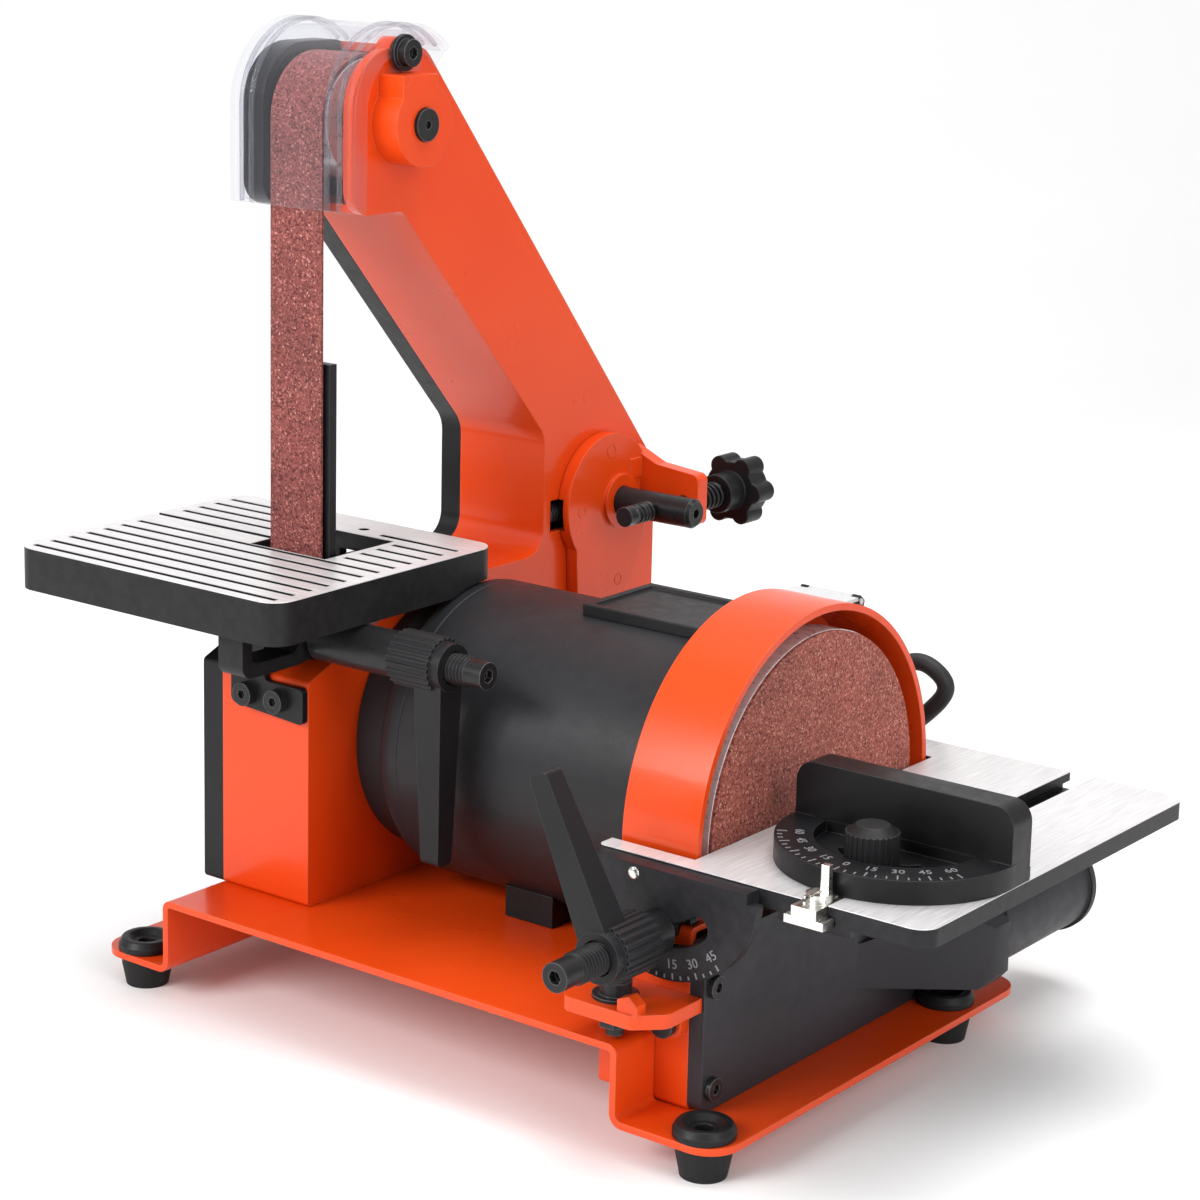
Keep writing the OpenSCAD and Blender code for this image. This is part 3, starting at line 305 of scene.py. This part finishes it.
def shading_group():
    """Joins the corners of a CAD mesh and keeps only its real edges sharp."""
    group = bpy.data.node_groups.new("clean_shading", "GeometryNodeTree")
    group.interface.new_socket("Geometry", in_out="INPUT", socket_type="NodeSocketGeometry")
    group.interface.new_socket("Geometry", in_out="OUTPUT", socket_type="NodeSocketGeometry")
    new, link = group.nodes.new, group.links.new
    start, end = new("NodeGroupInput"), new("NodeGroupOutput")
    merge = new("GeometryNodeMergeByDistance")
    merge.inputs["Distance"].default_value = 0.01 * mm
    smooth = new("GeometryNodeSetShadeSmooth")
    sharp = new("GeometryNodeSetShadeSmooth")
    sharp.domain = "EDGE"
    sharp.inputs["Shade Smooth"].default_value = False
    angle = new("GeometryNodeInputMeshEdgeAngle")
    limit = new("FunctionNodeCompare")
    limit.operation = "GREATER_THAN"
    limit.inputs[1].default_value = math.radians(28)
    link(start.outputs[0], merge.inputs["Geometry"])
    link(merge.outputs[0], smooth.inputs["Geometry"])
    link(smooth.outputs[0], sharp.inputs["Geometry"])
    link(angle.outputs["Unsigned Angle"], limit.inputs[0])
    link(limit.outputs[0], sharp.inputs["Selection"])
    link(sharp.outputs[0], end.inputs[0])
    return group


SHADING = shading_group()
ROUND_EDGES = {
    "belt_housing": 0.9, "side_cover": 0.8, "disc_housing": 0.5, "disc_cover": 0.7,
    "tension_arm": 0.7, "mitre_head": 0.8,
    "motor_end_cover": 0.5, "motor_foot": 0.6, "switch_box": 0.6, "label_plate": 0.4,
    "table_support": 0.5, "table_bracket": 0.4, "platen": 0.5, "rocker_switch": 0.4,
    "tracking_knob": 0.8, "mitre_bar": 0.2, "belt_guard": 0.25, "foot_grommets": 0.4,
    "belt_table_lever": 0.5, "disc_table_lever": 0.5, "dust_port": 0.3, "disc_plate": 0.3,
}

# Nodes whose flat faces keep their triangles, because one big face would fold over its slot
KEPT_FLATS = {"mitre_head"}


def finish_node(name, material):
    node = nodes[name]
    mesh = node.data
    if "custom_normal" in mesh.attributes:
        mesh.attributes.remove(mesh.attributes["custom_normal"])
    mesh.materials.clear()
    mesh.materials.append(material)
    node.modifiers.new("shading", "NODES").node_group = SHADING
    if name in ROUND_EDGES:
        if name not in KEPT_FLATS:
            flat = node.modifiers.new("flat", "DECIMATE")
            flat.decimate_type = "DISSOLVE"
            flat.angle_limit = math.radians(0.4)
        bevel = node.modifiers.new("edges", "BEVEL")
        bevel.width = ROUND_EDGES[name] * mm
        bevel.segments = 2
        bevel.limit_method = "ANGLE"
        bevel.angle_limit = math.radians(40)
        bevel.use_clamp_overlap = True
        bevel.harden_normals = False


for shared, names in NODE_MATERIALS.items():
    for node_name in names:
        finish_node(node_name, shared)


# ---------- new pieces ----------

def piece_from(name, vertices, faces, material, body, slot, smooth=True):
    mesh = bpy.data.meshes.new(name)
    mesh.from_pydata([tuple(v) for v in vertices], [], faces)
    mesh.validate()
    mesh.polygons.foreach_set("use_smooth", [smooth] * len(mesh.polygons))
    mesh.materials.append(material)
    piece = bpy.data.objects.new(name, mesh)
    bpy.context.scene.collection.objects.link(piece)
    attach(piece, body)
    return piece


def sweep(points, radius, sides=10):
    """Vertices and faces of a round rod along points, closed at both ends."""
    points = [Vector(p) for p in points]
    normal = (points[1] - points[0]).orthogonal().normalized()
    vertices, faces = [], []
    for k, p in enumerate(points):
        ahead = (points[min(k + 1, len(points) - 1)] - points[max(k - 1, 0)]).normalized()
        normal = (normal - ahead * normal.dot(ahead)).normalized()
        side = ahead.cross(normal)
        for n in range(sides):
            a = 2 * math.pi * n / sides
            vertices.append(p + radius * (math.cos(a) * normal + math.sin(a) * side))
    for k in range(len(points) - 1):
        for n in range(sides):
            m = (n + 1) % sides
            faces.append((k * sides + n, k * sides + m, (k + 1) * sides + m, (k + 1) * sides + n))
    last = (len(points) - 1) * sides
    faces.append(tuple(reversed(range(sides))))
    faces.append(tuple(range(last, last + sides)))
    return vertices, faces


def joined(parts):
    """One list of vertices and faces from several."""
    vertices, faces = [], []
    for part_vertices, part_faces in parts:
        base = len(vertices)
        vertices += part_vertices
        faces += [tuple(base + i for i in face) for face in part_faces]
    return vertices, faces


def coil_points(start, along, length, radius, turns, steps=20):
    """Points of a coil whose end turns lie flat."""
    along = Vector(along).normalized()
    u = along.orthogonal().normalized()
    v = along.cross(u)
    total = int(turns * steps)
    points = []
    for k in range(total + 1):
        t = k / total
        lift = min(max((t * turns - 0.75) / (turns - 1.5), 0), 1) * 0.94 + 0.03
        a = 2 * math.pi * turns * t
        points.append(Vector(start) + along * length * lift + radius * (math.cos(a) * u + math.sin(a) * v))
    return points


def slab(outline, thickness, lift):
    """An upright prism: outline is a list of points, lift a function from a point and height to 3-D."""
    n = len(outline)
    vertices = [lift(p, 0) for p in outline] + [lift(p, thickness) for p in outline]
    faces = [(k, (k + 1) % n, n + (k + 1) % n, n + k) for k in range(n)]
    faces += [tuple(reversed(range(n))), tuple(range(n, 2 * n))]
    return vertices, faces


def text_mesh(name, body, text, size, place, x_dir, normal, depth, material):
    """A small raised number, centred on place, read along x_dir."""
    curve = bpy.data.curves.new(name, "FONT")
    curve.body = text
    curve.size = size
    curve.extrude = depth / 2
    curve.align_x = "CENTER"
    curve.align_y = "CENTER"
    curve.resolution_u = 3
    holder = bpy.data.objects.new(name + "_curve", curve)
    bpy.context.scene.collection.objects.link(holder)
    bpy.context.view_layer.update()
    mesh = bpy.data.meshes.new_from_object(holder.evaluated_get(bpy.context.evaluated_depsgraph_get()))
    bpy.data.objects.remove(holder)
    z = Vector(normal).normalized()
    x = Vector(x_dir).normalized()
    y = z.cross(x)
    turn = Matrix((x, y, z)).transposed().to_4x4()
    mesh.transform(Matrix.Translation(Vector(place)) @ turn)
    mesh.materials.clear()
    mesh.materials.append(material)
    piece = bpy.data.objects.new(name, mesh)
    bpy.context.scene.collection.objects.link(piece)
    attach(piece, body)
    return piece


def bar_between(a, b, width, depth, normal):
    """A thin raised bar from a to b on a face with that normal."""
    a, b, normal = Vector(a), Vector(b), Vector(normal).normalized()
    side = normal.cross(b - a).normalized() * width / 2
    outline = [a - side, b - side, b + side, a + side]
    return slab(outline, depth, lambda p, h: p + normal * h)


# Coil springs in place of the plain rings
def spring_piece(name, replaced, body, axis, wire, turns):
    low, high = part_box(replaced)
    k = max(range(3), key=lambda i: abs(axis[i]))
    centre = (low + high) / 2
    radius = min((high - low)[i] for i in range(3) if i != k) / 2 - wire
    start = centre.copy()
    start[k] = low[k] + wire
    length = high[k] - low[k] - 2 * wire
    vertices, faces = sweep(coil_points(start, axis, length, radius, turns), wire, 8)
    piece = piece_from(name, vertices, faces, OXIDE, body, "black_steel")
    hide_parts(replaced)
    return piece


def springs():
    spring_piece("tension_coil", "tension_spring", "frame", (0, 1, 0), 0.7 * mm, 6)
    spring_piece("tracking_coil", "tracking_spring", "tensioner", (0, 1, 0), 0.75 * mm, 6)
    low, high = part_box("tracking_counter_screw")
    start = Vector(((low.x + high.x) / 2, low.y + 4.2 * mm, (low.z + high.z) / 2))
    coil = sweep(coil_points(start, (0, 1, 0), 11.6 * mm, 3.4 * mm, 6), 0.7 * mm, 8)
    piece_from("counter_coil", *coil, OXIDE, "tensioner", "black_steel")


# Power cord: moulded grommet, then a loop out to the right and down behind the base
def smooth_path(points, steps=10):
    """A Catmull-Rom curve through the points."""
    points = [Vector(p) for p in points]
    padded = [2 * points[0] - points[1]] + points + [2 * points[-1] - points[-2]]
    path = []
    for k in range(1, len(padded) - 2):
        a, b, c, d = padded[k - 1:k + 3]
        for n in range(steps):
            t = n / steps
            path.append(0.5 * (2 * b + (c - a) * t + (2 * a - 5 * b + 4 * c - d) * t * t
                               + (3 * b - a - 3 * c + d) * t ** 3))
    path.append(points[-1])
    return path


def power_cord():
    low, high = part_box("power_cord")
    x = (low.x + high.x) / 2
    z = (low.z + high.z) / 2
    cord_r = 3.4 * mm
    start = Vector((x, low.y + 0.3 * mm, z))
    points = [
        start, start + Vector((0, 0.012, 0.001)), start + Vector((0.006, 0.024, 0.010)),
        start + Vector((0.020, 0.031, 0.019)), start + Vector((0.031, 0.032, 0.016)),
        start + Vector((0.033, 0.033, 0.008)), start + Vector((0.020, 0.034, -0.006)),
        start + Vector((0.002, 0.034, -0.020)), start + Vector((-0.012, 0.033, -0.045)),
        start + Vector((-0.016, 0.034, -0.075)), start + Vector((-0.018, 0.040, -0.0985)),
    ]
    parts = [sweep(smooth_path(points), cord_r, 14)]
    for k in range(5):
        ring = start + Vector((0, 0.0035 + 0.0028 * k, 0.0001 * k))
        parts.append(sweep([ring, ring + Vector((0, 0.0016, 0))], (5.0 - 0.25 * k) * mm, 20))
    piece = piece_from("cord_with_grommet", *joined(parts), CORD, "frame", "black_rubber")
    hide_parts("power_cord")


# Raised flutes of the clear guard
def guard_flutes():
    low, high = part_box("belt_guard")
    rib = 0.9 * mm
    radius = 31 * mm
    centre_y = low.y + 0.8 * mm + radius
    centre_z = high.z - 0.8 * mm - radius
    width = high.x - low.x
    parts = []
    for share in (0.09, 0.17, 0.80, 0.90):
        x = low.x + share * width
        path = [Vector((x, centre_y - radius, low.z + 0.5 * mm))]
        for k in range(37):
            a = math.pi - math.radians(133) * k / 36
            path.append(Vector((x, centre_y + radius * math.cos(a), centre_z + radius * math.sin(a))))
        parts.append(sweep(path, rib, 8))
    piece_from("guard_flutes", *joined(parts), FLUTE, "frame", "clear_plastic")


# Graduations of the trunnion under the disc table, on its front face
def trunnion_marks():
    face_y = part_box("disc_table")[0].y
    normal = (0, -1, 0)
    bars = []
    for degrees in range(0, 46, 5):
        a = math.radians(-100 + 1.08 * degrees)
        long_mark = degrees % 15 == 0
        inner = (33.2 if long_mark else 34.0) * mm
        outer = 35.3 * mm
        ends = [TILT + Vector((math.cos(a) * r, 0, math.sin(a) * r)) for r in (inner, outer)]
        for end in ends:
            end.y = face_y + 0.05 * mm
        bars.append(bar_between(*ends, 0.55 * mm, 0.25 * mm, normal))
        if long_mark:
            spot = TILT + Vector((math.cos(a), 0, math.sin(a))) * 30.2 * mm
            spot.y = face_y
            along = Vector((-math.sin(a), 0, math.cos(a)))
            text_mesh(f"tilt_{degrees}", "disc_work_table", str(degrees), 4.6 * mm, spot, along,
                      normal, 0.35 * mm, GREY_MARK)
    piece_from("tilt_marks", *joined(bars), GREY_MARK, "disc_work_table", "table_steel", False)


# Graduations on the protractor's rim
def protractor_marks():
    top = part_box("mitre_head")[0].z + 8 * mm
    bars = []
    for degrees in range(-60, 61, 5):
        a = math.radians(-90 + degrees)
        out = Vector((math.cos(a), math.sin(a), 0))
        long_mark = degrees % 15 == 0
        base = Vector((SWIVEL.x, SWIVEL.y, top - 0.05 * mm))
        inner = (37.6 if long_mark else 39.2) * mm
        bars.append(bar_between(base + out * inner, base + out * 41.0 * mm, 0.5 * mm, 0.25 * mm, (0, 0, 1)))
        if long_mark:
            text_mesh(f"mitre_{degrees + 60}", "mitre_protractor", str(abs(degrees)), 4.6 * mm,
                      base + out * 33.6 * mm, Vector((-out.y, out.x, 0)), (0, 0, 1), 0.35 * mm,
                      GREY_MARK)
    piece_from("mitre_marks", *joined(bars), GREY_MARK, "mitre_protractor", "black_plastic", False)


# The framed plate on the motor: a plain panel with printed bars and no words
def label_face():
    low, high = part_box("label_plate")
    inset = 3.2 * mm
    z = high.z - 2.4 * mm
    x0, x1, y0, y1 = low.x + inset, high.x - inset, low.y + inset, high.y - inset

    def patch(ax, ay, bx, by, thick):
        corners = [(x0 + (x1 - x0) * u, y0 + (y1 - y0) * v) for u, v in ((ax, ay), (bx, ay), (bx, by), (ax, by))]
        return slab(corners, thick, lambda p, h: Vector((p[0], p[1], z + h)))

    piece_from("label_panel", *patch(0, 0, 1, 1, 0.5 * mm), LABEL_FACE, "frame", "black_plastic", False)
    bars = [patch(0.08, 0.80 - 0.14 * k, 0.42 - 0.05 * (k % 2), 0.84 - 0.14 * k, 0.62 * mm) for k in range(5)]
    bars += [patch(0.55, 0.70 - 0.13 * k, 0.92 - 0.08 * (k % 3), 0.74 - 0.13 * k, 0.62 * mm) for k in range(4)]
    piece_from("label_bars", *joined(bars), WHITE_MARK, "frame", "black_plastic", False)
    piece_from("label_band", *patch(0.55, 0.82, 0.92, 0.93, 0.62 * mm), LABEL_ORANGE, "frame", "black_plastic", False)


# Casting marks on the tension arm's disc
def casting_marks():
    low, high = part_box("tension_arm")
    face_x = low.x + 5.4 * mm
    parts = []
    for y, z, r in ((0.0, 20.5, 2.6), (-18.5, -2.0, 2.2), (6.5, -34.0, 2.2)):
        centre = Vector((face_x, 0.1155 + y * mm, 0.167 + z * mm))
        ring = [centre + Vector((0, r * mm * math.cos(a), r * mm * math.sin(a)))
                for a in [2 * math.pi * k / 24 for k in range(25)]]
        parts.append(sweep(ring, 0.22 * mm, 6))
    piece_from("casting_marks", *joined(parts), ORANGE, "tensioner", "orange_paint")


# A round-headed rivet on the disc table's front and a screw behind the disc's guard
def domed_head(centre, normal, radius, height, rings=5, sides=24):
    normal = Vector(normal).normalized()
    u = normal.orthogonal().normalized()
    v = normal.cross(u)
    vertices, faces = [], []
    for k in range(rings):
        a = math.pi / 2 * k / rings
        for n in range(sides):
            b = 2 * math.pi * n / sides
            spread = radius * math.cos(a)
            vertices.append(Vector(centre) + normal * height * math.sin(a)
                            + spread * (math.cos(b) * u + math.sin(b) * v))
    vertices.append(Vector(centre) + normal * height)
    top = len(vertices) - 1
    for k in range(rings - 1):
        for n in range(sides):
            m = (n + 1) % sides
            faces.append((k * sides + n, k * sides + m, (k + 1) * sides + m, (k + 1) * sides + n))
    faces += [((rings - 1) * sides + n, (rings - 1) * sides + (n + 1) % sides, top) for n in range(sides)]
    faces.append(tuple(reversed(range(sides))))
    return vertices, faces


def small_heads():
    low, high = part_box("disc_table")
    spot = (TILT.x - 13.2 * mm, low.y + 0.1 * mm, TILT.z - 2.2 * mm)
    piece_from("table_rivet", *domed_head(spot, (0, -1, 0), 2.3 * mm, 0.9 * mm), ZINC,
               "disc_work_table", "zinc")
    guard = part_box("disc_housing")[1]
    a = math.radians(47)
    out = Vector((0, math.cos(a), math.sin(a)))
    radius = guard.z - DRIVE.z
    spot = Vector((guard.x - 12 * mm, DRIVE.y, DRIVE.z)) + out * (radius - 0.1 * mm)
    piece_from("guard_rivet", *domed_head(spot, out, 3.2 * mm, 2.2 * mm), OXIDE, "frame", "black_steel")


springs()
power_cord()
guard_flutes()
trunnion_marks()
protractor_marks()
label_face()
casting_marks()
small_heads()


# ---------- stage, light and camera ----------

def stage_floor():
    s = Shader("floor")
    s.set(Base_Color=s.mix(s.span(s.noise(3), 0, 1), (0.86, 0.86, 0.86), (0.88, 0.88, 0.88)), Roughness=0.6)
    size = 4.0
    steps = 16
    profile = [(-size, 0.0), (1.2, 0.0)]
    profile += [(1.2 + 0.8 * math.sin(math.pi / 2 * k / steps), 0.8 - 0.8 * math.cos(math.pi / 2 * k / steps))
                for k in range(1, steps + 1)]
    profile.append((2.0, 3.5))
    back = Vector((-math.sin(AZIMUTH), math.cos(AZIMUTH), 0))
    side = Vector((math.cos(AZIMUTH), math.sin(AZIMUTH), 0))
    vertices = []
    for along, height in profile:
        for across in (-size, size):
            vertices.append(back * along + side * across + Vector((0, 0, height)))
    faces = [(2 * k, 2 * k + 1, 2 * k + 3, 2 * k + 2) for k in range(len(profile) - 1)]
    mesh = bpy.data.meshes.new("floor")
    mesh.from_pydata([tuple(v) for v in vertices], [], faces)
    mesh.polygons.foreach_set("use_smooth", [True] * len(mesh.polygons))
    mesh.materials.append(s.material)
    floor = bpy.data.objects.new("floor", mesh)
    bpy.context.scene.collection.objects.link(floor)


def look_at(place, target):
    return (Vector(target) - Vector(place)).to_track_quat("-Z", "Y").to_euler()


def soft_light(name, place, target, size, power, color=(1, 1, 1)):
    light = bpy.data.lights.new(name, "AREA")
    light.shape = "RECTANGLE"
    light.size, light.size_y = size
    light.energy = power
    light.color = color
    lamp = bpy.data.objects.new(name, light)
    lamp.location = place
    lamp.rotation_euler = look_at(place, target)
    bpy.context.scene.collection.objects.link(lamp)


def studio():
    world = bpy.data.worlds.new("studio")
    world.use_nodes = True
    world.node_tree.nodes["Background"].inputs["Color"].default_value = (1, 1, 1, 1)
    world.node_tree.nodes["Background"].inputs["Strength"].default_value = 0.62
    bpy.context.scene.world = world
    bpy.context.scene.view_settings.view_transform = "Standard"
    middle = (0.02, 0, 0.15)
    soft_light("key", (-0.5, -1.5, 1.0), middle, (0.9, 0.8), 25)
    soft_light("top", (0.1, 0.2, 1.5), middle, (1.2, 1.0), 18)
    soft_light("right", (1.5, -0.4, 0.7), middle, (0.7, 1.2), 10)


AZIMUTH = math.radians(38.08)


def camera():
    elevation = math.radians(11.85)
    roll = math.radians(1.06)
    ahead = Vector((-math.sin(AZIMUTH) * math.cos(elevation), math.cos(AZIMUTH) * math.cos(elevation),
                    -math.sin(elevation)))
    right = Vector((math.cos(AZIMUTH), math.sin(AZIMUTH), 0))
    up = right.cross(ahead)
    right, up = right * math.cos(roll) + up * math.sin(roll), up * math.cos(roll) - right * math.sin(roll)
    turn = Matrix((right, up, -ahead)).transposed().to_4x4()
    data = bpy.data.cameras.new("camera")
    data.sensor_width = 36
    data.lens = 90.04
    data.shift_x = 0.0508
    data.shift_y = -0.1138
    data.clip_start = 0.05
    eye = bpy.data.objects.new("camera", data)
    eye.matrix_world = Matrix.Translation((0.6499, -0.8352, 0.4303)) @ turn
    bpy.context.scene.collection.objects.link(eye)
    bpy.context.scene.camera = eye


stage_floor()
studio()
camera()

bpy.context.view_layer.update()
